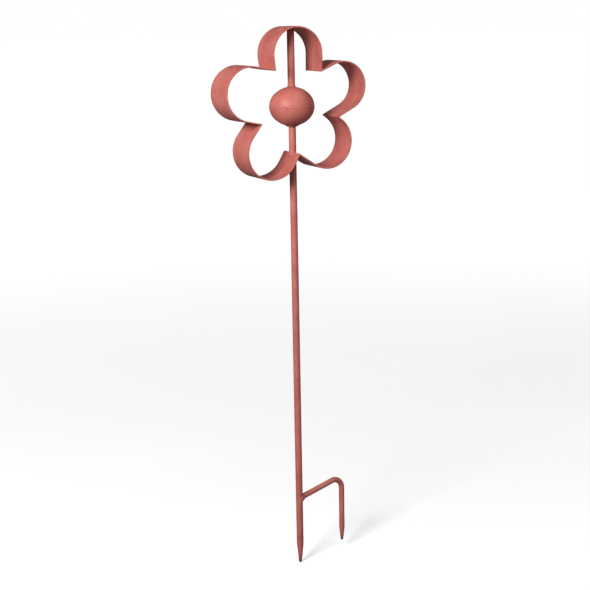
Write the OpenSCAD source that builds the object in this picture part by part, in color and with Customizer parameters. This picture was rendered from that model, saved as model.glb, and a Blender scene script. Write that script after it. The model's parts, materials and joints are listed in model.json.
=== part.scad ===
// Wind spinner on a garden stake. A steel strip bent into a five-petalled
// flower turns, with the hollow ball at its middle, on a bearing at the top of
// a round-bar stake. A thinner side prong keeps the stake from twisting.
// Millimetres, +Z up. The origin is on the stake's axis at ground level, where
// the prong's arm meets the stake. The flower faces -Y.

/* [Stake] */
// Diameter of the stake's round bar
stake_d = 11; // [8:0.5:14]
// Depth of the stake's tip below the ground
stake_depth = 110; // [90:1:200]
// Length of the forged taper at the stake's lower end
stake_taper = 33; // [15:1:60]
// Diameter of the taper's blunt nose
stake_nose_d = 4.5; // [2:0.5:6]
// Height of the flower's centre above the ground
flower_h = 624; // [400:1:900]

/* [Side prong] */
// Diameter of the prong's round bar
prong_d = 9; // [6:0.5:11]
// Distance from the stake's axis to the prong's leg
prong_run = 89; // [60:1:140]
// Rise of the prong's arm away from the stake, degrees
prong_rise = 10.5; // [0:0.5:20]
// Turn of the prong's arm behind the flower's plane, degrees
prong_turn = 13; // [-45:1:45]
// Radius of the bend at the arm's end, on the bar's centre line
prong_bend_r = 17.5; // [12:0.5:25]
// Length of the leg below the bend, with its taper
prong_leg = 92; // [60:1:140]
// Length of the leg's taper
prong_taper = 23; // [10:1:40]
// Diameter of the leg's blunt nose
prong_nose_d = 4; // [2:0.5:5]

/* [Flower strip] */
// Distance from the flower's centre to the end of an even petal
petal_reach = 118; // [105:1:150]
// Distance from the flower's centre to an even crease
crease_r = 67; // [50:0.5:72]
// Width of the strip, from front to back
strip_w = 55; // [30:1:80]
// Thickness of the strip
strip_t = 2; // [1.2:0.1:3]
// Gap all round between the stake and the hole in the strip
strip_hole_gap = 0.5; // [0.4:0.1:2]

/* [Hand bending] */
// What each petal adds to the even reach, from the top one clockwise
petal_long = [-1.5, -2, -7.5, 1, 1.5]; // [-8:0.5:8]
// Splay of each petal's right side away from the petal's own direction, degrees
right_splay = [1, -9, -21, 1, -8]; // [-22:1:22]
// Splay of each petal's left side
left_splay = [7, 5, 15, 6, 6]; // [-22:1:22]
// Lean of each crease from its even place, clockwise from the top one's right
crease_lean = [0, -3, 1, -1.5, 1.5]; // [-4:0.5:4]
// What each crease adds to the even distance
crease_out = [-2.5, 0.5, 2.5, -0.5, 0.5]; // [-3:0.5:3]

/* [Ball] */
// Width of the ball over its seam
ball_w = 68; // [56:0.5:80]
// Height of the ball
ball_h = 59.5; // [54:0.5:80]
// Radius of the curve beside the seam
ball_side_r = 26; // [20:0.5:26.5]
// Thickness of the pressed half shells
shell_t = 1.5; // [1:0.1:2.5]

/* [Pivot] */
// Wall of the bushes round the stake
bush_wall = 1.5; // [1:0.1:2.5]
// Wall of the sleeve that holds the bushes
sleeve_wall = 1.5; // [1.5:0.1:2.5]
// Length of each bush
bush_l = 12; // [8:0.5:14]
// How far the lower bush's flange stands out past the bush
flange_out = 1; // [0.5:0.1:1]
// Thickness of the lower bush's flange, which sits flush in the sleeve's end
flange_t = 1.5; // [1:0.1:2]
// Running clearance between the stake and the bushes, on the radius
run_gap = 0.08; // [0.02:0.01:0.1]
// Diameter of the steel ball that carries the flower
bearing_d = 6; // [5:0.5:7]
// Diameter of the drilled seat under the steel ball
seat_d = 5; // [3:0.1:4.9]
// Depth of the drilled seat
seat_depth = 3; // [2:0.5:6]
// Height of the stake's top end above the flower's centre
stake_over = 4; // [0:0.5:6]
// Depth of the spindle's socket in the plug
socket_depth = 8; // [5:0.5:10]
// Wall left under the socket
plug_floor = 3.5; // [2:0.5:5]

/* [Welds] */
// Leg of the weld between the prong and the stake
prong_weld_leg = 3; // [2:0.5:4]
// Leg of the weld between the spindle and the ball
ball_weld_leg = 1.5; // [1:0.5:4]
// Leg of the weld between the spindle and the top petal
petal_weld_leg = 2.5; // [2:0.5:4]
// Width of the weld between the sleeve and the ball
sleeve_weld_leg = 2; // [1:0.5:3]
// Radius of the bead round the ball's seam
seam_bead_r = 1.1; // [0.8:0.1:1.6]
// Radius of the bead that closes the strip's two ends
strip_bead_r = 1.8; // [1:0.1:2.5]

/* [Hidden] */
$fn = 180;

coat = [0.72, 0.38, 0.34];
weld_coat = [0.62, 0.31, 0.28];
bare_steel = [0.62, 0.62, 0.64];
nylon = [0.90, 0.88, 0.82];

petals = 5;
step = 360 / petals;
stake_r = stake_d / 2;
prong_r = prong_d / 2;
bush_d = stake_d + 2 * bush_wall;
sleeve_d = bush_d + 2 * sleeve_wall;
flange_d = bush_d + 2 * flange_out;
through = 1;                    // how far a cut runs past the face it opens
edge = 0.3;                     // blunt edge left at the rim of a weld
lap = 0.3;                      // how far a straight stretch runs into its bend
swell = 0.05;                   // how far a bend stands proud on each face

// The flower's outline. Angles run clockwise from the top, seen from the front.
function heading(a) = [sin(a), cos(a)];
function wrap(i) = (i + petals) % petals;
function reach(i) = petal_reach + petal_long[i];
function crease_at(i) =
    heading(step * (i + 0.5) + crease_lean[i]) * (crease_r + crease_out[i]);

// Petal i's two straight sides leave its creases: the right side (turn = -1)
// leaves crease i, and the left side (turn = 1) leaves crease i - 1.
function side_from(i, turn) = crease_at(turn < 0 ? i : wrap(i - 1));
function splay(i, turn) = turn < 0 ? right_splay[i] : left_splay[i];
function side_way(i, turn) = heading(step * i - turn * splay(i, turn));
function side_out(i, turn) = heading(step * i - turn * (splay(i, turn) + 90));

// The round end is the circle that touches both sides and ends at the reach.
function side_room(i, turn) =
    let (from = side_from(i, turn), a = splay(i, turn),
         across = from * heading(step * i + 90), along = from * heading(step * i))
    sin(a) * (reach(i) - along) - turn * cos(a) * across;
function bend_r(i) =
    let (a = splay(i, -1), b = splay(i, 1))
    (cos(a) * side_room(i, 1) + cos(b) * side_room(i, -1))
    / (cos(a) * (1 + sin(b)) + cos(b) * (1 + sin(a)));
function bend_shift(i) =
    let (a = splay(i, -1))
    (side_room(i, -1) - (1 + sin(a)) * bend_r(i)) / cos(a);
function bend_at(i) =
    heading(step * i) * (reach(i) - bend_r(i)) + heading(step * i + 90) * bend_shift(i);

// The end of a side, and the end of a crease, off the strip's middle line
function side_end(i, turn, off) = bend_at(i) + side_out(i, turn) * (bend_r(i) + off);
function crease_end(i, off) =
    let (p = side_end(i, -1, off), u = side_way(i, -1),
         q = side_end(wrap(i + 1), 1, off), v = side_way(wrap(i + 1), 1))
    p + u * cross(q - p, v) / cross(u, v);

function direction(v) = atan2(v.y, v.x);

// The ball's outline is an oval of two arcs on each side: a crown and a flank.
ball_a = ball_w / 2;
ball_b = ball_h / 2;
flank_x = ball_a - ball_side_r;
crown_r = (pow(flank_x, 2) + pow(ball_b, 2) - pow(ball_side_r, 2))
    / (2 * (ball_b - ball_side_r));
crown_drop = crown_r - ball_b;
arc_split = atan2(crown_drop, flank_x);

// Where the crown's outer face stands above the ball's middle, r off the axis
function crown_h(r) = sqrt(pow(crown_r, 2) - pow(r, 2)) - crown_drop;

// The pivot's heights
stake_top = flower_h + stake_over;
bearing_h = stake_top + sqrt(pow(bearing_d / 2, 2) - pow(seat_d / 2, 2));
plug_h = bearing_h + bearing_d / 2 + run_gap;
socket_h = plug_h + plug_floor;
sleeve_top = socket_h + socket_depth;
sleeve_low = flower_h - ball_b;
upper_bush_top = stake_top - 1;

// The prong's bend
prong_angle = 90 + prong_rise;
bend_tangent = prong_bend_r * tan(prong_angle / 2);
arm_l = prong_run / cos(prong_rise) - bend_tangent;
leg_top = prong_run * tan(prong_rise) - bend_tangent;

// Bits of shape that several pieces share

module stand_up() {
    translate([0, 0, flower_h]) rotate([90, 0, 0]) children();
}

// The sharp fold at crease i, with the straight sides of the petals beside it
module fold(i) {
    next = wrap(i + 1);
    function end(off) = side_end(i, -1, off) + side_way(i, -1) * lap;
    function next_end(off) = side_end(next, 1, off) + side_way(next, 1) * lap;
    linear_extrude(strip_w, center = true)
        polygon([end(strip_t / 2), crease_end(i, strip_t / 2), next_end(strip_t / 2),
                 next_end(-strip_t / 2), crease_end(i, -strip_t / 2), end(-strip_t / 2)]);
}

// The round end of petal i, a hair thicker and wider than the straight sides
module petal_end(i) {
    start = direction(side_out(i, -1));
    sweep = direction(side_out(i, 1)) - start;
    translate(bend_at(i)) rotate(start)
        rotate_extrude(angle = sweep < 0 ? sweep + 360 : sweep)
            translate([bend_r(i) - strip_t / 2 - swell, -strip_w / 2 - swell])
                square([strip_t + 2 * swell, strip_w + 2 * swell]);
}

// The room inside the top petal's round end
module top_petal_room() {
    stand_up()
        translate(bend_at(0))
            cylinder(h = stake_d * 6, r = bend_r(0) - strip_t / 2 - swell, center = true);
}

// Everything outside that room, above its middle
module above_top_petal() {
    difference() {
        translate([-stake_d * 2, -stake_d * 2, flower_h + bend_at(0).y])
            cube([stake_d * 4, stake_d * 4, bend_r(0) + strip_t]);
        top_petal_room();
    }
}

// The ball's outline to the right of its axis, moved inwards
module ball_outline(inset) {
    middle = [0, -crown_drop];
    translate([flank_x, 0]) circle(ball_side_r - inset);
    intersection() {
        translate(middle) circle(crown_r - inset);
        polygon([middle, middle + 2 * crown_r * [cos(arc_split), sin(arc_split)],
                 middle + 2 * crown_r * [0, 1]]);
    }
}

// Upper half of the ball's wall, cut back round a hole on the axis
module half_shell(hole_r) {
    rotate_extrude()
        difference() {
            ball_outline(0);
            ball_outline(shell_t);
            translate([-ball_w, -ball_w]) square([ball_w * 2, ball_w]);
            translate([-ball_w, -through]) square([ball_w + hole_r, ball_h]);
            translate([ball_a - seam_bead_r / 2, 0]) circle(seam_bead_r, $fn = 32);
        }
}

// Solid ball, to cut a weld to the outer face
module ball_fill() {
    rotate_extrude()
        intersection() {
            translate([0, -crown_drop]) circle(crown_r);
            square([ball_a, ball_h]);
        }
}

module prong_place() {
    rotate(prong_turn) children();
}

// Lays a piece drawn up +Z along the prong's arm
module along_arm() {
    rotate([0, 90 - prong_rise, 0]) children();
}

// Pieces that stay in the ground

module stake_rod() {
    color(coat) difference() {
        union() {
            translate([0, 0, -stake_depth])
                cylinder(h = stake_taper, d1 = stake_nose_d, d2 = stake_d);
            translate([0, 0, stake_taper - stake_depth])
                cylinder(h = stake_top - stake_taper + stake_depth, d = stake_d);
        }
        translate([0, 0, stake_top - seat_depth])
            cylinder(h = seat_depth + through, d = seat_d);
    }
}

module side_prong() {
    color(coat) prong_place() difference() {
        union() {
            along_arm() cylinder(h = arm_l + lap, d = prong_d);
            translate([prong_run - prong_bend_r, 0, leg_top])
                rotate([90, 0, 0]) rotate_extrude(angle = prong_angle)
                    translate([prong_bend_r, 0]) circle(r = prong_r + swell);
            translate([prong_run, 0, leg_top - prong_leg + prong_taper])
                cylinder(h = prong_leg - prong_taper + lap, d = prong_d);
            translate([prong_run, 0, leg_top - prong_leg])
                cylinder(h = prong_taper, d1 = prong_nose_d, d2 = prong_d);
        }
        cylinder(h = stake_d * 2, d = stake_d, center = true);
    }
}

module prong_weld() {
    color(weld_coat) prong_place() difference() {
        along_arm() cylinder(h = stake_r + prong_weld_leg,
                             r1 = prong_r + prong_weld_leg * 1.2, r2 = prong_r + edge);
        cylinder(h = stake_d * 3, d = stake_d, center = true);
        along_arm() translate([0, 0, -through]) cylinder(h = arm_l, d = prong_d);
    }
}

module bearing_ball() {
    color(bare_steel) translate([0, 0, bearing_h]) sphere(d = bearing_d);
}

// Pieces that turn

module flower_band() {
    color(coat) difference() {
        stand_up() for (i = [0 : petals - 1]) {
            fold(i);
            petal_end(i);
        }
        translate([0, 0, flower_h - petal_reach])
            cylinder(h = petal_reach, r = stake_r + strip_hole_gap);
    }
}

module band_seam_weld() {
    notch = crease_end(2, strip_t / 2);
    color(weld_coat) difference() {
        stand_up() difference() {
            translate(notch) cylinder(h = strip_w - 2, r = strip_bead_r, center = true);
            linear_extrude(strip_w, center = true)
                polygon([notch, side_end(2, -1, strip_t / 2), [0, 0],
                         side_end(3, 1, strip_t / 2)]);
        }
        translate([0, 0, flower_h + notch.y - stake_d])
            cylinder(h = stake_d * 2, r = stake_r + strip_hole_gap + 1);
    }
}

module upper_spindle() {
    color(coat) difference() {
        translate([0, 0, socket_h])
            cylinder(h = flower_h + petal_reach + petal_long[0] - socket_h, d = stake_d);
        above_top_petal();
    }
}

module spindle_top_weld() {
    inside = bend_at(0).y + bend_r(0) - strip_t / 2;
    color(weld_coat) intersection() {
        translate([0, 0, flower_h + inside - petal_weld_leg]) rotate(30) difference() {
            cylinder(h = petal_weld_leg + strip_t, r1 = stake_r + edge,
                     r2 = stake_r + petal_weld_leg + strip_t);
            translate([0, 0, -through])
                cylinder(h = petal_weld_leg + strip_t + 2 * through, d = stake_d);
        }
        top_petal_room();
    }
}

module ball_upper_shell() {
    color(coat) translate([0, 0, flower_h]) half_shell(stake_r);
}

module ball_lower_shell() {
    color(coat) translate([0, 0, flower_h]) mirror([0, 0, 1]) half_shell(sleeve_d / 2);
}

module ball_seam_weld() {
    color(weld_coat) translate([0, 0, flower_h]) rotate_extrude()
        intersection() {
            translate([ball_a - seam_bead_r / 2, 0]) circle(seam_bead_r, $fn = 32);
            translate([ball_a - shell_t, -seam_bead_r]) square([shell_t * 2, seam_bead_r * 2]);
        }
}

module ball_top_weld() {
    foot = crown_h(stake_r + ball_weld_leg);
    color(weld_coat) translate([0, 0, flower_h]) difference() {
        translate([0, 0, foot - 0.5])
            cylinder(h = crown_h(stake_r) - foot + ball_weld_leg + 0.5,
                     r1 = stake_r + ball_weld_leg, r2 = stake_r + edge);
        translate([0, 0, foot - through]) cylinder(h = stake_d, d = stake_d);
        ball_fill();
    }
}

module ball_bottom_weld() {
    sleeve_r = sleeve_d / 2;
    foot = crown_h(sleeve_r + sleeve_weld_leg);
    color(weld_coat) translate([0, 0, flower_h]) mirror([0, 0, 1]) difference() {
        translate([0, 0, foot - 0.5])
            cylinder(h = ball_b - foot + 0.5,
                     r1 = sleeve_r + sleeve_weld_leg, r2 = sleeve_r + edge);
        translate([0, 0, foot - through]) cylinder(h = stake_d, d = sleeve_d);
        ball_fill();
    }
}

module pivot_sleeve() {
    color(bare_steel) difference() {
        translate([0, 0, sleeve_low]) cylinder(h = sleeve_top - sleeve_low, d = sleeve_d);
        translate([0, 0, sleeve_low - through])
            cylinder(h = sleeve_top - sleeve_low + 2 * through, d = bush_d);
        translate([0, 0, sleeve_low - through]) cylinder(h = flange_t + through, d = flange_d);
    }
}

module pivot_plug() {
    color(bare_steel) difference() {
        translate([0, 0, plug_h]) cylinder(h = sleeve_top - plug_h, d = bush_d);
        translate([0, 0, socket_h]) cylinder(h = socket_depth + through, d = stake_d);
    }
}

module upper_bush() {
    color(nylon) translate([0, 0, upper_bush_top - bush_l]) difference() {
        cylinder(h = bush_l, d = bush_d);
        translate([0, 0, -through])
            cylinder(h = bush_l + 2 * through, r = stake_r + run_gap);
    }
}

module lower_bush() {
    color(nylon) difference() {
        translate([0, 0, sleeve_low]) union() {
            cylinder(h = bush_l, d = bush_d);
            cylinder(h = flange_t, d = flange_d);
        }
        translate([0, 0, sleeve_low - through])
            cylinder(h = bush_l + 2 * through, r = stake_r + run_gap);
    }
}

stake_rod();
side_prong();
prong_weld();
bearing_ball();
flower_band();
band_seam_weld();
upper_spindle();
spindle_top_weld();
ball_upper_shell();
ball_lower_shell();
ball_seam_weld();
ball_top_weld();
ball_bottom_weld();
pivot_sleeve();
pivot_plug();
upper_bush();
lower_bush();
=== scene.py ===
# %% [markdown]
# # A wind spinner on a garden stake
# A smith makes this ornament from bar, strip and two pressed bowls. The flower and
# its ball turn on a bearing that is hidden in the ball, and everything that shows is
# powder coated in one terracotta rose. The working shape already exists as a frame
# of exact parts, so this lesson only adds looks: soft edges, hand-bent sheet, weld
# beads with ripples in them, and a coat of paint that is never quite even.

# %% Load the frame
import json
import math

import bmesh
import bpy
from mathutils import Matrix, Vector, noise


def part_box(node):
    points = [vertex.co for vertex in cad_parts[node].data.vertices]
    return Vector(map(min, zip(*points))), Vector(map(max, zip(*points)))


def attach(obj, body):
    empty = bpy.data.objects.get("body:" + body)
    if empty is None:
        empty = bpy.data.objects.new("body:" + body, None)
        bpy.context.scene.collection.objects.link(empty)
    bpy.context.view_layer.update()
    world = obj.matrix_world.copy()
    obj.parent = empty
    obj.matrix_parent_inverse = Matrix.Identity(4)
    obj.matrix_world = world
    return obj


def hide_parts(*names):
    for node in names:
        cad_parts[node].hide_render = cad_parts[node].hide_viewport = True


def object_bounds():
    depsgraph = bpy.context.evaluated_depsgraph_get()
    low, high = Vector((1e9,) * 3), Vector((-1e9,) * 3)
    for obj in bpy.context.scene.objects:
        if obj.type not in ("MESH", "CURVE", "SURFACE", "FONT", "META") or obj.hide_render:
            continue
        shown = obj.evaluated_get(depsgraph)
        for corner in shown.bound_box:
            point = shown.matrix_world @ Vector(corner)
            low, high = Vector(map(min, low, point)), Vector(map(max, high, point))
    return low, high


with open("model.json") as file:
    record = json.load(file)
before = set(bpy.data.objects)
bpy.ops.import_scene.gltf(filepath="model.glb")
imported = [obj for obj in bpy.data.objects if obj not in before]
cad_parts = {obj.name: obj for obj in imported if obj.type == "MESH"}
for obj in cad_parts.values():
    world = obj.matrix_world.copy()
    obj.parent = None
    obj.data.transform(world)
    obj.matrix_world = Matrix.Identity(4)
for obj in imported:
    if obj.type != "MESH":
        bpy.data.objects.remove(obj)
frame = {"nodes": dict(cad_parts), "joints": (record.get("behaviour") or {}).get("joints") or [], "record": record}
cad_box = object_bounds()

print("nodes:", ", ".join(sorted(frame["nodes"])))

# %% [markdown]
# ## Measures
# Every place comes from the frame, so a piece can't drift away from the part that
# it dresses. The joint gives the flower's centre, because the flower turns about
# it, and the boxes of the exact parts give radii and heights. Only what no box can
# say is written down: the strip's thickness, and how its petals were bent.

# %% Measures of the frame
MM = 0.001

spin_joint = frame["joints"][0]
centre = Vector(spin_joint["pos_m"])
stake_low, stake_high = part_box("stake_rod")
band_low, band_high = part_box("flower_band")
ball_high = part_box("ball_upper_shell")[1]
prong_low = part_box("side_prong")[0]
stake_r = stake_high.x
strip_w = band_high.y - band_low.y
ball_a = ball_high.x
ball_b = ball_high.z - centre.z
print(f"bar {2 * stake_r / MM:.1f} mm, ball {2 * ball_a / MM:.1f} mm")
print(f"strip {strip_w / MM:.1f} mm wide")

# %% [markdown]
# ## From loose mesh to finished piece
# Each piece is shaped in a bmesh, which is a mesh with no object around it. One
# helper turns it into an object. Another lets the object ride on a body of the
# frame, hides the plain part that it stands for, and gives it its finish. Doubles are
# merged before the normals are turned outwards, because faces that don't share
# edges can't agree.

# %% Helpers: finish a piece
def as_object(name, bm):
    """Make an object of the bmesh and put it in the scene."""
    mesh = bpy.data.meshes.new(name)
    bm.to_mesh(mesh)
    bm.free()
    piece = bpy.data.objects.new(name, mesh)
    bpy.context.scene.collection.objects.link(piece)
    return piece


def dress(piece, finish, body, stands_for, sharp=40):
    """Finish a piece, and let it ride on a body in place of plain nodes."""
    mesh = piece.data
    mesh.materials.clear()
    mesh.materials.append(finish)
    mesh.shade_smooth()
    mesh.set_sharp_from_angle(angle=math.radians(sharp))
    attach(piece, body)
    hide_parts(*stands_for)
    print(f"{piece.name}: {len(mesh.polygons)} faces on {body}")


def settle(name, bm, finish, body, stands_for):
    """Clean the bmesh, make an object of it and dress that."""
    bmesh.ops.remove_doubles(bm, verts=bm.verts, dist=0.002 * MM)
    bmesh.ops.recalc_face_normals(bm, faces=bm.faces)
    dress(as_object(name, bm), finish, body, stands_for)


# %% [markdown]
# Some pieces get their last shape from modifiers, which work on a finished object.
# Their result could stay live, but a mesh is simpler to hand on, so this helper
# keeps what the modifiers make and drops the modifiers.

# %% Helper: freeze modifiers into the mesh
def freeze(piece):
    """Keep what the modifiers make, and drop the modifiers."""
    bpy.context.view_layer.update()
    seen = piece.evaluated_get(bpy.context.evaluated_depsgraph_get())
    mesh = bpy.data.meshes.new_from_object(seen)
    piece.modifiers.clear()
    piece.data = mesh


# %% [markdown]
# ## Node helpers
# A material is a small network, and most of the typing in it is making nodes and
# joining them. A few helpers keep the finishes readable: they start a material, add
# a node with its settings, and turn a value into a colour or another range. Every
# noise reads Object coordinates, so its pattern stays on the metal when the flower
# turns.

# %% Helpers: nodes
def new_finish(name):
    """Start a material, and return it with its surface shader."""
    finish = bpy.data.materials.new(name)
    finish.use_nodes = True
    shader = finish.node_tree.nodes["Principled BSDF"]
    return finish, shader


def add(finish, kind, settings=(), **inputs):
    """Add a node. Settings are its own properties, and inputs fill its sockets."""
    node = finish.node_tree.nodes.new("ShaderNode" + kind)
    for name, value in dict(settings).items():
        setattr(node, name, value)
    for name, value in inputs.items():
        socket = node.inputs[name.replace("_", " ")]
        if isinstance(value, bpy.types.NodeSocket):
            finish.node_tree.links.new(value, socket)
        else:
            socket.default_value = value
    return node


def join(finish, source, target):
    finish.node_tree.links.new(source, target)


def place(finish):
    return add(finish, "TexCoord").outputs["Object"]


def grain(finish, scale, detail=4.0, roughness=0.55):
    """Noise whose features are about 1 / scale metres across."""
    node = add(finish, "TexNoise", Vector=place(finish), Scale=scale,
               Detail=detail, Roughness=roughness)
    return node.outputs["Fac"]


def ramp(finish, source, stops):
    """Colour ramp with (position, colour) stops."""
    node = add(finish, "ValToRGB", Fac=source)
    bar = node.color_ramp
    bar.elements[0].position, bar.elements[0].color = stops[0]
    bar.elements[1].position, bar.elements[1].color = stops[-1]
    for position, colour in stops[1:-1]:
        bar.elements.new(position).color = colour
    return node.outputs["Color"]


def spread(finish, source, low, high, start=0.0, end=1.0):
    """Stretch a value from start..end to low..high, and hold it there."""
    node = add(finish, "MapRange", Value=source)
    for socket, value in zip(("From Min", "From Max", "To Min", "To Max"),
                             (start, end, low, high)):
        node.inputs[socket].default_value = value
    return node.outputs["Result"]


def mix(finish, amount, first, second):
    """Go from the first colour to the second by the amount."""
    node = add(finish, "MixRGB", Fac=amount, Color1=first, Color2=second)
    return node.outputs["Color"]


def product(finish, first, second):
    """Multiply two values."""
    node = add(finish, "Math", [("operation", "MULTIPLY")])
    for socket, value in zip(node.inputs, (first, second)):
        if isinstance(value, bpy.types.NodeSocket):
            join(finish, value, socket)
        else:
            socket.default_value = value
    return node.outputs["Value"]


# %% [markdown]
# ## The powder coat
# Powder is blown on dry and baked until it flows. It leaves a satin skin with a
# faint orange peel, a little lighter where it lies thick and browner where it has
# pulled thin over an edge. A single colour would look like plastic, so the coat is
# built from three nearby tones, two sizes of noise, and a mask for the edges. The
# mask compares the true normal with a rounded one: they differ only near an edge.

# %% Helper: edge mask
def edge_mask(finish, radius):
    """From 0 on a face to 1 on an edge, over a band about one radius wide."""
    soft = add(finish, "Bevel", [("samples", 4)], Radius=radius).outputs["Normal"]
    true = add(finish, "NewGeometry").outputs["Normal"]
    dot = add(finish, "VectorMath", [("operation", "DOT_PRODUCT")])
    join(finish, soft, dot.inputs[0])
    join(finish, true, dot.inputs[1])
    return spread(finish, dot.outputs["Value"], low=1.0, high=0.0, start=0.80, end=0.995)


# %% [markdown]
# The tones are the coat where it lies thick, even and thin, the primer under it, and
# the grime on a point that has been in the ground. Each pattern has its own scale,
# in features a metre: slow clouds, flecks as small as the powder, patches that wear
# or lose their gloss, and the fine peel over a slow sag.

# %% The coat's tones and patterns
THICK = (0.650, 0.212, 0.178)
EVEN = (0.590, 0.162, 0.132)
THIN = (0.500, 0.118, 0.096)
PRIMER = (0.170, 0.045, 0.042)
GRIME = (0.055, 0.036, 0.042)

CLOUD_SCALE = 38.0
FLECK_SCALE = 420.0
WEAR_SCALE = 160.0
SCUFF_SCALE = 300.0
GLOSS_SCALE = 240.0
PEEL_SCALE = 900.0
SAG_SCALE = 110.0

EDGE_BAND = 0.7 * MM
SCUFF_LENGTH = 22 * MM


# %% [markdown]
# One function makes every coat, because the whole ornament was sprayed in one go.
# Colour comes first, then roughness, then two bumps that feed one another, so that
# the orange peel lies on the sag. The points of the bars get one more layer, which
# fades out with height.

# %% Helpers: the coat
def opaque(colour, shade=1.0):
    """Add an alpha of 1 to a colour, which may be shaded first."""
    return tuple(shade * c for c in colour) + (1.0,)


def scuffed(finish, colour, tip):
    """Darken the coat near a point in the ground, whose height is tip."""
    height = add(finish, "SeparateXYZ", Vector=place(finish)).outputs["Z"]
    near = spread(finish, height, low=1.0, high=0.0, start=tip, end=tip + SCUFF_LENGTH)
    patches = spread(finish, grain(finish, SCUFF_SCALE), 0.45, 1.0, start=0.35, end=0.6)
    amount = product(finish, product(finish, near, near), patches)
    return mix(finish, amount, colour, opaque(GRIME))


def powder_coat(name, edge=1.0, peel=0.10, rough=0.50, shade=1.0, tip=None):
    """Baked coat. Edge is how far it pulls thin there, and peel its ripple."""
    finish, shader = new_finish(name)
    tones = [(0.30, opaque(THIN, shade)), (0.50, opaque(EVEN, shade)),
             (0.72, opaque(THICK, shade))]
    cloud = ramp(finish, grain(finish, CLOUD_SCALE, detail=5.0), tones)
    fleck = ramp(finish, grain(finish, FLECK_SCALE, detail=3.0),
                 [(0.35, opaque((0.90, 0.90, 0.90))), (0.65, opaque((1.0, 1.0, 1.0)))])
    colour = add(finish, "MixRGB", [("blend_type", "MULTIPLY")], Fac=1.0,
                 Color1=cloud, Color2=fleck).outputs["Color"]
    patches = spread(finish, grain(finish, WEAR_SCALE), 0.15 * edge, 0.75 * edge,
                     start=0.35, end=0.65)
    worn = product(finish, edge_mask(finish, EDGE_BAND), patches)
    colour = mix(finish, worn, colour, opaque(PRIMER))
    if tip is not None:
        colour = scuffed(finish, colour, tip)
    join(finish, colour, shader.inputs["Base Color"])
    gloss = spread(finish, grain(finish, GLOSS_SCALE), rough - 0.07, rough + 0.08,
                   start=0.3, end=0.7)
    join(finish, gloss, shader.inputs["Roughness"])
    shader.inputs["Specular IOR Level"].default_value = 0.42
    ripple = add(finish, "Bump", Strength=peel, Distance=0.25 * MM,
                 Height=grain(finish, PEEL_SCALE, detail=2.0, roughness=0.4))
    sag = add(finish, "Bump", Strength=0.25, Distance=0.5 * MM,
              Height=grain(finish, SAG_SCALE, detail=2.0, roughness=0.5),
              Normal=ripple.outputs["Normal"])
    join(finish, sag.outputs["Normal"], shader.inputs["Normal"])
    return finish


# %% [markdown]
# Each kind of surface takes the coat a little differently. It pulls back most from
# the strip's sheared edges, lies smoothest on the pressed ball, and sits rough and
# slightly darker on the welds.

# %% The coats
coat_strip = powder_coat("coat on strip", edge=0.7)
coat_ball = powder_coat("coat on pressed shell", edge=0.3, peel=0.08)
coat_bar = powder_coat("coat on bar", edge=0.5)
coat_stake = powder_coat("coat on stake", edge=0.3, tip=stake_low.z)
coat_prong = powder_coat("coat on prong", edge=0.3, tip=prong_low.z)
coat_weld = powder_coat("coat over weld", edge=0.35, peel=0.3, rough=0.56, shade=0.92)
print("coats:", ", ".join(m.name for m in bpy.data.materials if m.name.startswith("coat")))

# %% [markdown]
# ## The strip, bent into a flower
# The real flower is one flat bar on edge. The smith bends five round petals over a
# former, and closes each fold between them in a vice. The same moves work here: an
# edge as wide as the strip is pushed along the straight sides with extrude, and
# swung round each former with spin. The route is the strip's middle line, and its
# thickness comes afterwards, so both faces stay parallel through every fold. Each
# side's splay and each fold's place are a little uneven, as hand bending leaves
# them.

# %% How the strip is bent
PETALS = 5
LOWEST_FOLD = 2
STEP = 360 / PETALS
strip_t = 2 * MM
petal_reach = 118 * MM
crease_r = 67 * MM
petal_long = [-1.5 * MM, -2 * MM, -7.5 * MM, 1 * MM, 1.5 * MM]
right_splay = [1, -9, -21, 1, -8]
left_splay = [7, 5, 15, 6, 6]
crease_lean = [0, -3, 1, -1.5, 1.5]
crease_out = [-2.5 * MM, 0.5 * MM, 2.5 * MM, -0.5 * MM, 0.5 * MM]


def heading(degrees):
    """Unit vector in the flower's plane, clockwise from straight up."""
    angle = math.radians(degrees)
    return Vector((math.sin(angle), 0, math.cos(angle)))


def crease_at(i):
    """Place of the fold after petal i, seen from the flower's centre."""
    i = i % PETALS
    return heading(STEP * (i + 0.5) + crease_lean[i]) * (crease_r + crease_out[i])


# %% [markdown]
# A petal's round end touches both straight sides and stops at the petal's reach.
# Each side gives one equation for the bend's radius and its place across the
# petal, so two sides settle both.

# %% A petal's round end
def petal_bend(i):
    """Centre and radius of petal i's round end, on the strip's middle line."""
    along, across = heading(STEP * i), heading(STEP * i + 90)
    reach = petal_reach + petal_long[i]
    rooms = []
    for splay, crease, side in ((right_splay[i], crease_at(i), 1),
                                (left_splay[i], crease_at(i - 1), -1)):
        a = math.radians(splay)
        rooms.append((math.sin(a) * (reach - crease.dot(along))
                      + side * math.cos(a) * crease.dot(across), math.sin(a), math.cos(a)))
    (room_r, sin_r, cos_r), (room_l, sin_l, cos_l) = rooms
    radius = ((cos_r * room_l + cos_l * room_r)
              / (cos_r * (1 + sin_l) + cos_l * (1 + sin_r)))
    shift = (room_r - (1 + sin_r) * radius) / cos_r
    return along * (reach - radius) + across * shift, radius


for i in range(PETALS):
    print(f"petal {i}: bend radius {petal_bend(i)[1] / MM:.1f} mm")


# %% [markdown]
# Extrude leaves the new edges where the old ones are, so they have to be picked out
# and moved. The helper does that in equal steps, and hands back the last row, which
# is where the next push or swing starts. The bars below are drawn with it too.

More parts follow.
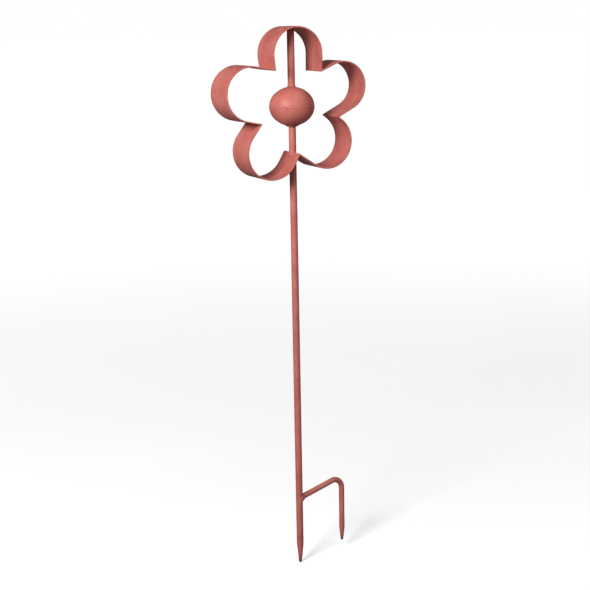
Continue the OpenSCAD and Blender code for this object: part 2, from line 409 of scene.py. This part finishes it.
# %% Helper: push a row of edges along
def push(bm, edges, way, steps):
    """Extrude the edges along a vector in equal steps, and return the last row."""
    for _ in range(steps):
        made = bmesh.ops.extrude_edge_only(bm, edges=edges)["geom"]
        verts = [g for g in made if isinstance(g, bmesh.types.BMVert)]
        bmesh.ops.translate(bm, vec=way / steps, verts=verts)
        fresh = set(verts)
        edges = [g for g in made if isinstance(g, bmesh.types.BMEdge)
                 and all(v in fresh for v in g.verts)]
    return edges


# %% [markdown]
# The strip's edge is a vertex extruded backwards from the fold before the top
# petal. It then goes round the flower petal by petal: up the left side, round the
# former, and down the right side to the next fold. Its last row meets its first
# one, and merging doubles closes the band.

# %% Bend the strip
SIDE_STEPS = 10
BEND_STEPS = 56
ACROSS_STEPS = 14

bm = bmesh.new()
front_corner = centre + crease_at(-1) - Vector((0, strip_w / 2, 0))
last = bmesh.ops.create_vert(bm, co=front_corner)["vert"]
for _ in range(ACROSS_STEPS):
    last = bmesh.ops.extrude_vert_indiv(bm, verts=last)["verts"]
    bmesh.ops.translate(bm, vec=(0, strip_w / ACROSS_STEPS, 0), verts=last)
row = bm.edges[:]
for i in range(PETALS):
    bend, radius = petal_bend(i)
    out_left = heading(STEP * i - left_splay[i] - 90)
    out_right = heading(STEP * i + right_splay[i] + 90)
    row = push(bm, row, bend + out_left * radius - crease_at(i - 1), SIDE_STEPS)
    swung = bmesh.ops.spin(bm, geom=row, cent=centre + bend, axis=(0, 1, 0),
                           angle=math.radians(180 + left_splay[i] + right_splay[i]),
                           steps=BEND_STEPS, use_duplicate=False)
    row = [g for g in swung["geom_last"] if isinstance(g, bmesh.types.BMEdge)]
    row = push(bm, row, crease_at(i) - bend - out_right * radius, SIDE_STEPS)
bmesh.ops.remove_doubles(bm, verts=bm.verts, dist=0.05 * MM)
print(f"strip: {len(bm.faces)} faces round five petals")

# %% [markdown]
# Sheet that has been bent by hand isn't true. The petals at the sides flare to the
# rear by under three degrees, so the strip's back edge runs a little wider than its
# front one. A slow noise then moves the middle surface a few tenths of a
# millimetre, which is enough to make the long reflections wander. The noise gets a
# seed, or every run would bend the strip another way.

# %% Make the strip uneven
FLARE = math.radians(2.6)
WANDER = 0.45 * MM
WANDER_SEED = 1
WANDER_SCALE = 14
EDGE_WANDER = 0.5

noise.seed_set(WANDER_SEED)
for v in bm.verts:
    drift = noise.noise_vector(v.co * WANDER_SCALE) * WANDER
    edge_share = abs(v.co.y) / (strip_w / 2)
    flare = FLARE * v.co.x / petal_reach * v.co.y
    v.co += Vector((drift.x + flare, drift.y * edge_share * EDGE_WANDER, drift.z))
print(f"flare {math.degrees(FLARE):.1f} degrees, wander {WANDER / MM:.2f} mm")

# %% [markdown]
# Solidify gives the strip its thickness, half on each side of the middle surface,
# and Bevel takes the sharpness off the sheared edges and the folds. Modifiers are
# handy here, because the bevel finds its edges by their angle after the thickness
# is there.

# %% Thickness and soft edges
bmesh.ops.recalc_face_normals(bm, faces=bm.faces)
flower_strip = as_object("flower_strip", bm)

wall = flower_strip.modifiers.new("wall", "SOLIDIFY")
wall.thickness = strip_t
wall.offset = 0
wall.use_even_offset = True

soft = flower_strip.modifiers.new("soft edges", "BEVEL")
soft.width = 0.45 * MM
soft.segments = 3
soft.limit_method = "ANGLE"
soft.angle_limit = math.radians(35)
soft.harden_normals = False
print(f"strip {strip_t / MM:.1f} mm thick, its edges softened by {soft.width / MM:.2f} mm")

# %% [markdown]
# The stake passes through the lowest fold, which was drilled for it. A Boolean cuts
# the hole with a plain rod, and the rod is thrown away once the result is kept.

# %% The stake's hole
HOLE_GAP = 0.5 * MM
DRILL_L = 60 * MM

bm = bmesh.new()
bmesh.ops.create_cone(bm, cap_ends=True, segments=64, radius1=stake_r + HOLE_GAP,
                      radius2=stake_r + HOLE_GAP, depth=DRILL_L,
                      matrix=Matrix.Translation((0, 0, centre.z + crease_at(LOWEST_FOLD).z)))
drill = as_object("drill", bm)

hole = flower_strip.modifiers.new("hole", "BOOLEAN")
hole.operation = "DIFFERENCE"
hole.object = drill
hole.solver = "EXACT"
freeze(flower_strip)
bpy.data.objects.remove(drill)
dress(flower_strip, coat_strip, "head", ["flower_band"], sharp=50)

# %% [markdown]
# ## The ball
# The ball is two steel bowls, pressed to the same shape and welded rim to rim. Its
# outline is a crown arc that runs into a tighter flank arc. Two radii and the
# ball's half width and half height settle where the two arcs meet.

# %% The ball's two arcs
FLANK_R = 26 * MM
SHELL_T = 1.5 * MM

flank_x = ball_a - FLANK_R
crown_r = (flank_x ** 2 + ball_b ** 2 - FLANK_R ** 2) / (2 * (ball_b - FLANK_R))
crown_drop = crown_r - ball_b
split = math.atan2(crown_drop, flank_x)
print(f"crown arc {crown_r / MM:.1f} mm, flank arc {FLANK_R / MM:.1f} mm")


# %% [markdown]
# One function makes both bowls. A vertex at the rim is spun round the flank's
# centre, then round the crown's, and the chain that it leaves is spun once round
# the stake's line. Pressing leaves the sheet slightly uneven, so the skin gets a
# faint slow noise before solidify gives it its wall. The lower bowl is the same
# shape turned over, with a larger hole, because the pivot's sleeve comes through it.

# %% A pressed shell
PRESS_SCALE = 60
PRESS_DENT = 0.12 * MM


def pressed_shell(name, up, hole_r, node):
    """One bowl of the ball. Up is 1 for the upper one and -1 for the lower one."""
    bm = bmesh.new()
    rim = bm.verts.new((ball_a, 0, 0))
    flank = bmesh.ops.spin(bm, geom=[rim], cent=(flank_x, 0, 0), axis=(0, -1, 0),
                           angle=split, steps=18, use_duplicate=False)
    last = [g for g in flank["geom_last"] if isinstance(g, bmesh.types.BMVert)]
    reach = math.pi / 2 - split - math.asin(hole_r / crown_r)
    bmesh.ops.spin(bm, geom=last, cent=(0, 0, -crown_drop), axis=(0, -1, 0),
                   angle=reach, steps=22, use_duplicate=False)
    bmesh.ops.spin(bm, geom=bm.verts[:] + bm.edges[:], cent=(0, 0, 0), axis=(0, 0, 1),
                   angle=math.tau, steps=128, use_merge=True, use_duplicate=False)
    bmesh.ops.remove_doubles(bm, verts=bm.verts, dist=0.01 * MM)
    bmesh.ops.recalc_face_normals(bm, faces=bm.faces)
    for v in bm.verts:
        v.co += v.co.normalized() * noise.noise(v.co * PRESS_SCALE * up) * PRESS_DENT
    bmesh.ops.solidify(bm, geom=bm.faces[:], thickness=SHELL_T)
    bmesh.ops.scale(bm, vec=(1, 1, up), verts=bm.verts)
    bmesh.ops.translate(bm, vec=centre, verts=bm.verts)
    settle(name, bm, coat_ball, "head", [node])


pressed_shell("ball_upper_bowl", 1, stake_r, "ball_upper_shell")
sleeve_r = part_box("pivot_sleeve")[1].x
pressed_shell("ball_lower_bowl", -1, sleeve_r, "ball_lower_shell")

# %% [markdown]
# The weld round the ball's seam was ground back after welding, and under the coat
# it shows as no more than a faint line. A ring with a low ripple is enough. It is a
# circle spun once round the ball, sunk so far that it stands less than half a
# millimetre proud.

# %% The seam round the ball
SEAM_R = 0.9 * MM
SEAM_PROUD = 0.37 * MM
SEAM_RIPPLES = 96
SEAM_LIFT = 0.05 * MM
SEAM_ROUGH = 0.06 * MM
SEAM_SCALE = 90

bm = bmesh.new()
bmesh.ops.create_circle(bm, segments=16, radius=SEAM_R,
                        matrix=Matrix.Translation((ball_a + SEAM_PROUD - SEAM_R, 0, 0))
                        @ Matrix.Rotation(math.pi / 2, 4, "X"))
bmesh.ops.spin(bm, geom=bm.verts[:] + bm.edges[:], cent=(0, 0, 0), axis=(0, 0, 1),
               angle=math.tau, steps=384, use_merge=True, use_duplicate=False)
for v in bm.verts:
    turn = math.atan2(v.co.y, v.co.x)
    lift = SEAM_LIFT * math.cos(SEAM_RIPPLES * turn)
    lift += SEAM_ROUGH * noise.noise(v.co * SEAM_SCALE)
    v.co += Vector((v.co.x, v.co.y, 0)).normalized() * lift
bmesh.ops.translate(bm, vec=centre, verts=bm.verts)
settle("ball_seam_bead", bm, coat_ball, "head", ["ball_seam_weld"])

# %% [markdown]
# ## The bars
# The stake and the prong are round bar. A bar's end is drawn out under a hammer
# into a long taper with a blunt nose. A circle is the bar's section, so everything
# here is one ring of edges pushed along, and scaled a little in at each step where
# the bar tapers. The hammer's flats are slow noise that grows towards the nose.

# %% Helpers: taper, nose and hammer
HAMMER_SCALE = 170
ON_AXIS = 0.01 * MM


def ring_of(row):
    """The vertices of a row of edges, each of them once."""
    return list(dict.fromkeys(v for e in row for v in e.verts))


def taper(bm, row, way, first_r, last_r, steps=1):
    """Push a ring along in steps, while its radius changes evenly."""
    for k in range(1, steps + 1):
        row = push(bm, row, way / steps, 1)
        ring = ring_of(row)
        middle = sum((v.co for v in ring), Vector()) / len(ring)
        before = first_r + (last_r - first_r) * (k - 1) / steps
        after = first_r + (last_r - first_r) * k / steps
        bmesh.ops.scale(bm, vec=Vector((1, 1, 1)) * after / before, verts=ring,
                        space=Matrix.Translation(-middle))
    return row


def close_nose(bm, row, round_off):
    """Close a ring with a face, and round its rim."""
    bmesh.ops.contextual_create(bm, geom=row)
    bmesh.ops.bevel(bm, geom=row, offset=round_off, offset_type="OFFSET", segments=4,
                    profile=0.5, material=-1, affect="EDGES", clamp_overlap=True)


def hammer(bm, axis_x, axis_y, nose_z, length, depth):
    """Dent the taper above nose_z, less and less towards its upper end."""
    for v in bm.verts:
        share = 1 - (v.co.z - nose_z) / length
        out = Vector((v.co.x - axis_x, v.co.y - axis_y, 0))
        if share > 0 and out.length > ON_AXIS:
            v.co += out.normalized() * noise.noise(v.co * HAMMER_SCALE) * depth * share


# %% [markdown]
# The stake starts as a circle just under its top. One way the ring goes down the
# shaft and the taper to the nose. The other way it makes the top's blunt rim and
# turns down into the drilled seat, where the bearing's steel ball sits.

# %% The stake
STAKE_TAPER = 33 * MM
STAKE_NOSE_R = 2.25 * MM
SEAT_R = 2.5 * MM
SEAT_DEPTH = 3 * MM
RIM = 0.5 * MM
UP = Vector((0, 0, 1))

shaft_l = stake_high.z - RIM - stake_low.z - STAKE_TAPER
bm = bmesh.new()
bmesh.ops.create_circle(bm, segments=56, radius=stake_r,
                        matrix=Matrix.Translation((0, 0, stake_high.z - RIM)))
start = bm.edges[:]
row = push(bm, start, -UP * shaft_l, 72)
row = taper(bm, row, -UP * STAKE_TAPER, stake_r, STAKE_NOSE_R, 16)
close_nose(bm, row, round_off=0.8 * STAKE_NOSE_R)
row = taper(bm, start, UP * RIM, stake_r, stake_r - RIM)
row = taper(bm, row, Vector(), stake_r - RIM, SEAT_R)
row = push(bm, row, -UP * SEAT_DEPTH, 1)
bmesh.ops.contextual_create(bm, geom=row)
hammer(bm, 0, 0, stake_low.z, STAKE_TAPER, depth=0.5 * MM)
settle("stake_bar", bm, coat_stake, "stake", ["stake_rod"])

# %% [markdown]
# The prong was bent cold from thinner bar. Extrude draws its section along the arm,
# spin takes it round the bend, and extrude draws it down the leg. Its radius and
# its place come from the mount that the frame records for it.

# %% The prong's measures
PRONG_RISE = math.radians(10.5)
PRONG_BEND = 17.5 * MM
PRONG_TAPER = 23 * MM
PRONG_NOSE_R = 2 * MM
ARM_ROOT = 3 * MM

spike = next(m for m in frame["record"]["mounts"] if m["name"] == "prong_spike")
prong_r = spike["dims"]["r_mm"] * MM
prong_run = math.hypot(spike["pos_m"][0], spike["pos_m"][1])
prong_turn = math.atan2(spike["pos_m"][1], spike["pos_m"][0])
print(f"prong bar {2 * prong_r / MM:.1f} mm, {prong_run / MM:.1f} mm from the stake")

tangent = PRONG_BEND * math.tan((math.pi / 2 + PRONG_RISE) / 2)
arm_l = prong_run / math.cos(PRONG_RISE) - tangent
leg_top = prong_run * math.tan(PRONG_RISE) - tangent
leg_l = leg_top - prong_low.z
arm_way = Vector((math.cos(PRONG_RISE), 0, math.sin(PRONG_RISE)))

# %% [markdown]
# The arm starts inside the stake, as the real one runs into its weld, and the whole
# prong is drawn along X and turned to its place last.

# %% The prong
bm = bmesh.new()
bmesh.ops.create_circle(bm, segments=40, radius=prong_r,
                        matrix=Matrix.Translation(arm_way * ARM_ROOT)
                        @ Matrix.Rotation(math.pi / 2 - PRONG_RISE, 4, "Y"))
start = bm.edges[:]
row = push(bm, start, arm_way * (arm_l - ARM_ROOT), 12)
swung = bmesh.ops.spin(bm, geom=row, cent=(prong_run - PRONG_BEND, 0, leg_top),
                       axis=(0, 1, 0), angle=math.pi / 2 + PRONG_RISE, steps=26,
                       use_duplicate=False)
row = [g for g in swung["geom_last"] if isinstance(g, bmesh.types.BMEdge)]
row = push(bm, row, -UP * (leg_l - PRONG_TAPER), 10)
row = taper(bm, row, -UP * PRONG_TAPER, prong_r, PRONG_NOSE_R, 12)
close_nose(bm, row, round_off=0.7 * PRONG_NOSE_R)
bmesh.ops.contextual_create(bm, geom=start)
hammer(bm, prong_run, 0, prong_low.z, PRONG_TAPER, depth=0.35 * MM)
bmesh.ops.rotate(bm, verts=bm.verts, cent=(0, 0, 0),
                 matrix=Matrix.Rotation(prong_turn, 3, "Z"))
settle("prong_bar", bm, coat_prong, "stake", ["side_prong"])

# %% [markdown]
# The spindle carries on the stake's line above the ball, up to the top petal. It
# doesn't turn on the stake: it is welded to both ball and petal, and turns with
# them. Its lower end was sawn and deburred, so it has a narrow chamfer.

# %% The spindle above the ball
DEBURR = 0.3 * MM

spindle_low, spindle_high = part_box("upper_spindle")
bm = bmesh.new()
bmesh.ops.create_circle(bm, segments=56, radius=stake_r - DEBURR,
                        matrix=Matrix.Translation((0, 0, spindle_low.z)))
start = bm.edges[:]
row = taper(bm, start, UP * DEBURR, stake_r - DEBURR, stake_r)
row = push(bm, row, UP * (spindle_high.z - spindle_low.z - 2 * DEBURR), 14)
for ring in (start, row):
    bmesh.ops.contextual_create(bm, geom=ring)
settle("spindle_bar", bm, coat_bar, "head", ["upper_spindle"])

# %% [markdown]
# ## The welds
# A weld is a row of small pools, each frozen on the last, so its face is a stack
# of ripples with soft toes. The plain weld rings of the frame already sit right.
# A copy of each is merged, remeshed to even little cells, smoothed, and then
# rippled round its own axis, which is what the smith's hand did.

# %% Helper: an even copy of a plain weld
def even_copy(name, node, cell):
    """Copy a node's mesh and rebuild it in cells of one size."""
    bm = bmesh.new()
    bm.from_mesh(frame["nodes"][node].data)
    bmesh.ops.remove_doubles(bm, verts=bm.verts, dist=0.001 * MM)
    piece = as_object(name, bm)
    even = piece.modifiers.new("even cells", "REMESH")
    even.mode = "VOXEL"
    even.voxel_size = cell
    freeze(piece)
    return piece


# %% [markdown]
# Most of these welds go round something, so their ripples turn about an axis. The
# one that closes the strip runs straight, so its ripples follow one another along
# it instead. Each bead also swells a little, as the coat fills its toes.

# %% Helper: ripple a weld
RIPPLE_PITCH = 2.2 * MM
SPATTER = 0.6
SPATTER_SCALE = 700
SMOOTH_PASSES = 3


def weld_bead(name, node, body, ripples, lift, axis, cell=0.45 * MM, swell=0.15 * MM):
    """Dress a plain weld. Axis is (point, direction). No ripples means a straight bead."""
    piece = even_copy(name, node, cell)
    bm = bmesh.new()
    bm.from_mesh(piece.data)
    for _ in range(SMOOTH_PASSES):
        bmesh.ops.smooth_vert(bm, verts=bm.verts, factor=0.5,
                              use_axis_x=True, use_axis_y=True, use_axis_z=True)
    bm.normal_update()
    point, way = axis
    side = way.orthogonal().normalized()
    other = way.cross(side)
    for v in bm.verts:
        from_axis = v.co - point
        if ripples:
            turn = math.atan2(from_axis.dot(other), from_axis.dot(side))
            wave = math.cos(ripples * turn)
        else:
            wave = math.cos(from_axis.dot(way) * math.tau / RIPPLE_PITCH)
        rough = noise.noise(v.co * SPATTER_SCALE) * SPATTER
        v.co += v.normal * (lift * (wave + rough) + swell)
    bm.to_mesh(piece.data)
    bm.free()
    dress(piece, coat_weld, body, [node], sharp=60)


# %% [markdown]
# The prong's weld turns about the prong's arm, and those on the ball, at its foot
# and under the top petal turn about the stake's line. The small ones get finer
# cells, or their ripples would be lost.

# %% The five welds
arm = Matrix.Rotation(prong_turn, 3, "Z") @ arm_way
stake_line = (centre, UP)
fold_line = (centre + crease_at(LOWEST_FOLD), Vector((0, 1, 0)))

weld_bead("prong_weld_bead", "prong_weld", "stake", 22, 0.16 * MM, (Vector((0, 0, 0)), arm))
weld_bead("ball_top_bead", "ball_top_weld", "head", 26, 0.10 * MM, stake_line)
weld_bead("ball_foot_bead", "ball_bottom_weld", "head", 40, 0.05 * MM, stake_line,
          cell=0.3 * MM, swell=0)
weld_bead("spindle_top_bead", "spindle_top_weld", "head", 24, 0.12 * MM, stake_line)
weld_bead("strip_seam_bead", "band_seam_weld", "head", 0, 0.10 * MM, fold_line,
          cell=0.3 * MM)

# %% [markdown]
# ## The pieces inside the ball
# The bearing is out of sight, but it is real, so it gets real finishes: a polished
# ball, turned steel with fine rings round the axis, and pale nylon bushes. The
# rings are a Wave texture along the axis, too fine to count and just enough to
# break up a reflection.

# %% Turned steel
def turned_steel(name, colour, rough, rings):
    """Bare steel with fine rings about the stake's line."""
    finish, shader = new_finish(name)
    bands = add(finish, "TexWave", [("bands_direction", "Z")], Vector=place(finish),
                Scale=rings, Distortion=1.5, Detail=2.0).outputs["Fac"]
    tones = [(0.3, opaque(colour, 0.8)), (0.7, opaque(colour))]
    join(finish, ramp(finish, grain(finish, 260.0), tones), shader.inputs["Base Color"])
    shader.inputs["Metallic"].default_value = 1.0
    join(finish, spread(finish, bands, rough, rough + 0.12), shader.inputs["Roughness"])
    cut = add(finish, "Bump", Strength=0.2, Distance=0.05 * MM, Height=bands)
    join(finish, cut.outputs["Normal"], shader.inputs["Normal"])
    return finish


sleeve_steel = turned_steel("turned sleeve steel", (0.56, 0.56, 0.58), rough=0.30, rings=700.0)
bearing_steel = turned_steel("polished bearing steel", (0.78, 0.78, 0.80), rough=0.08, rings=60.0)
print(f"steels: {sleeve_steel.name}, {bearing_steel.name}")

# %% [markdown]
# Nylon is pale and slightly waxy: a little light goes into it and comes out again
# nearby. Subsurface does that, over about a millimetre.

# %% Nylon
PALE_NYLON = (0.78, 0.76, 0.68)
DULL_NYLON = (0.66, 0.63, 0.54)

bush_nylon, shader = new_finish("bush nylon")
tones = [(0.3, opaque(DULL_NYLON)), (0.7, opaque(PALE_NYLON))]
join(bush_nylon, ramp(bush_nylon, grain(bush_nylon, 180.0), tones), shader.inputs["Base Color"])
gloss = spread(bush_nylon, grain(bush_nylon, 500.0), 0.42, 0.58, start=0.3, end=0.7)
join(bush_nylon, gloss, shader.inputs["Roughness"])
skin = add(bush_nylon, "Bump", Strength=0.15, Distance=0.1 * MM,
           Height=grain(bush_nylon, 1200.0))
join(bush_nylon, skin.outputs["Normal"], shader.inputs["Normal"])
shader.inputs["Subsurface Weight"].default_value = 0.1
shader.inputs["Subsurface Scale"].default_value = 1 * MM
print(f"bushes: {bush_nylon.name}")

# %% [markdown]
# These five pieces stay as the frame made them, because turned parts are as plain
# as their drawing. They only need their finishes, in the slots that they have.

# %% Finish the bearing's pieces
BEARING_FINISHES = {"bearing_ball": bearing_steel, "pivot_sleeve": sleeve_steel,
                    "pivot_plug": sleeve_steel, "upper_bush": bush_nylon,
                    "lower_bush": bush_nylon}
for node, finish in BEARING_FINISHES.items():
    for material_slot in frame["nodes"][node].material_slots:
        material_slot.material = finish
    print(f"{node}: {finish.name}")

# %% [markdown]
# ## Floor, light and camera
# The ornament is shown as a shop would show it: on a pale floor that runs out to
# the horizon, with one broad soft light from the front left and a little fill. The
# floor doesn't throw light back on the metal, so the undersides stay dark.

# %% Floor
FLOOR_R = 60
FLOOR_GAP = 0.5 * MM

bm = bmesh.new()
bmesh.ops.create_circle(bm, cap_ends=True, segments=96, radius=FLOOR_R,
                        matrix=Matrix.Translation((0, 0, cad_box[0].z - FLOOR_GAP)))
floor = as_object("floor", bm)
floor.visible_diffuse = False
floor.visible_glossy = False
print(f"floor {FLOOR_GAP / MM:.1f} mm under the points")

# %% [markdown]
# A lit floor would be grey far off, where no lamp reaches. So it also glows a
# little, and more with distance, until it can't be told from the sky.

# %% The floor's finish
pale, shader = new_finish("pale floor")
tones = [(0.3, opaque((0.84, 0.84, 0.84))), (0.7, opaque((0.88, 0.88, 0.88)))]
join(pale, ramp(pale, grain(pale, 3.0), tones), shader.inputs["Base Color"])
shader.inputs["Roughness"].default_value = 0.9
shader.inputs["Specular IOR Level"].default_value = 0.1
shader.inputs["Emission Color"].default_value = (1, 1, 1, 1)
away = add(pale, "VectorMath", [("operation", "LENGTH")])
join(pale, place(pale), away.inputs[0])
glow = spread(pale, away.outputs["Value"], low=0.50, high=0.90, start=0.3, end=3.0)
join(pale, glow, shader.inputs["Emission Strength"])
floor.data.materials.append(pale)
print(f"floor's finish: {pale.name}")

# %% [markdown]
# Both lamps are squares of soft light. The key stands close on the left, so it
# lights the strips' faces across and leaves the far sides dark. The fill is broad
# and weak, and only opens the shadows a little.

# %% Lights
def panel(name, place_at, aim, size, watts):
    """A square of soft light at a point, facing another."""
    data = bpy.data.lights.new(name, "AREA")
    data.shape = "SQUARE"
    data.size = size
    data.energy = watts
    light = bpy.data.objects.new(name, data)
    bpy.context.scene.collection.objects.link(light)
    light.location = place_at
    light.rotation_euler = (Vector(aim) - Vector(place_at)).to_track_quat("-Z", "Y").to_euler()
    light.visible_camera = False
    print(f"{name}: {watts} W over {size} m")


panel("key", (-1.30, -0.86, 1.22), centre, size=0.6, watts=32)
panel("fill", (0.75, -1.45, 1.45), centre, size=0.9, watts=7)

# %% [markdown]
# The sky is white to look at but lights the metal only dimly. A Light Path node
# tells the two apart, so the backdrop stays clean and the shading stays deep.

# %% Sky
SKY_LIGHT = 0.135

world = bpy.data.worlds.new("studio")
world.use_nodes = True
bpy.context.scene.world = world
sky = world.node_tree.nodes["Background"]
sky.inputs["Color"].default_value = (1, 1, 1, 1)
sky.inputs["Strength"].default_value = SKY_LIGHT
seen_sky = world.node_tree.nodes.new("ShaderNodeBackground")
seen_sky.inputs["Color"].default_value = (1, 1, 1, 1)
seen_sky.inputs["Strength"].default_value = 1.0
which = world.node_tree.nodes.new("ShaderNodeLightPath")
blend = world.node_tree.nodes.new("ShaderNodeMixShader")
wire = world.node_tree.links.new
wire(which.outputs["Is Camera Ray"], blend.inputs["Fac"])
wire(sky.outputs["Background"], blend.inputs[1])
wire(seen_sky.outputs["Background"], blend.inputs[2])
wire(blend.outputs["Shader"], world.node_tree.nodes["World Output"].inputs["Surface"])
print(f"sky lights at {SKY_LIGHT}")

# %% [markdown]
# The camera stands in front and a little to the left, and looks slightly down. Its
# place is given from the flower's centre, as a distance and two small shifts. The
# three vectors right, up and minus look are the columns of its turn.

# %% Camera
VIEW_TURN = math.radians(25.29)
VIEW_DOWN = math.radians(12.65)
VIEW_ROLL = math.radians(-1.11)
VIEW_AWAY = 1.869
VIEW_ASIDE = -0.0007
VIEW_ABOVE = 0.1302
LENS_MM = 75.54
SENSOR_MM = 36

look = Vector((math.sin(VIEW_TURN) * math.cos(VIEW_DOWN),
               math.cos(VIEW_TURN) * math.cos(VIEW_DOWN), -math.sin(VIEW_DOWN)))
level = Vector((math.cos(VIEW_TURN), -math.sin(VIEW_TURN), 0))
upright = level.cross(look)
right = level * math.cos(VIEW_ROLL) + upright * math.sin(VIEW_ROLL)
up = upright * math.cos(VIEW_ROLL) - level * math.sin(VIEW_ROLL)
stand = (centre + Vector((-math.sin(VIEW_TURN) * VIEW_AWAY,
                          -math.cos(VIEW_TURN) * VIEW_AWAY, VIEW_ABOVE))
         + level * VIEW_ASIDE)

lens = bpy.data.cameras.new("camera")
lens.lens = LENS_MM
lens.sensor_width = SENSOR_MM
camera = bpy.data.objects.new("camera", lens)
bpy.context.scene.collection.objects.link(camera)
turn = Matrix((right, up, -look)).transposed().to_4x4()
camera.matrix_world = Matrix.Translation(stand) @ turn
bpy.context.scene.camera = camera
bpy.context.scene.view_settings.view_transform = "Standard"
bpy.context.scene.view_settings.look = "None"
print("camera stands at", [round(c, 3) for c in stand])
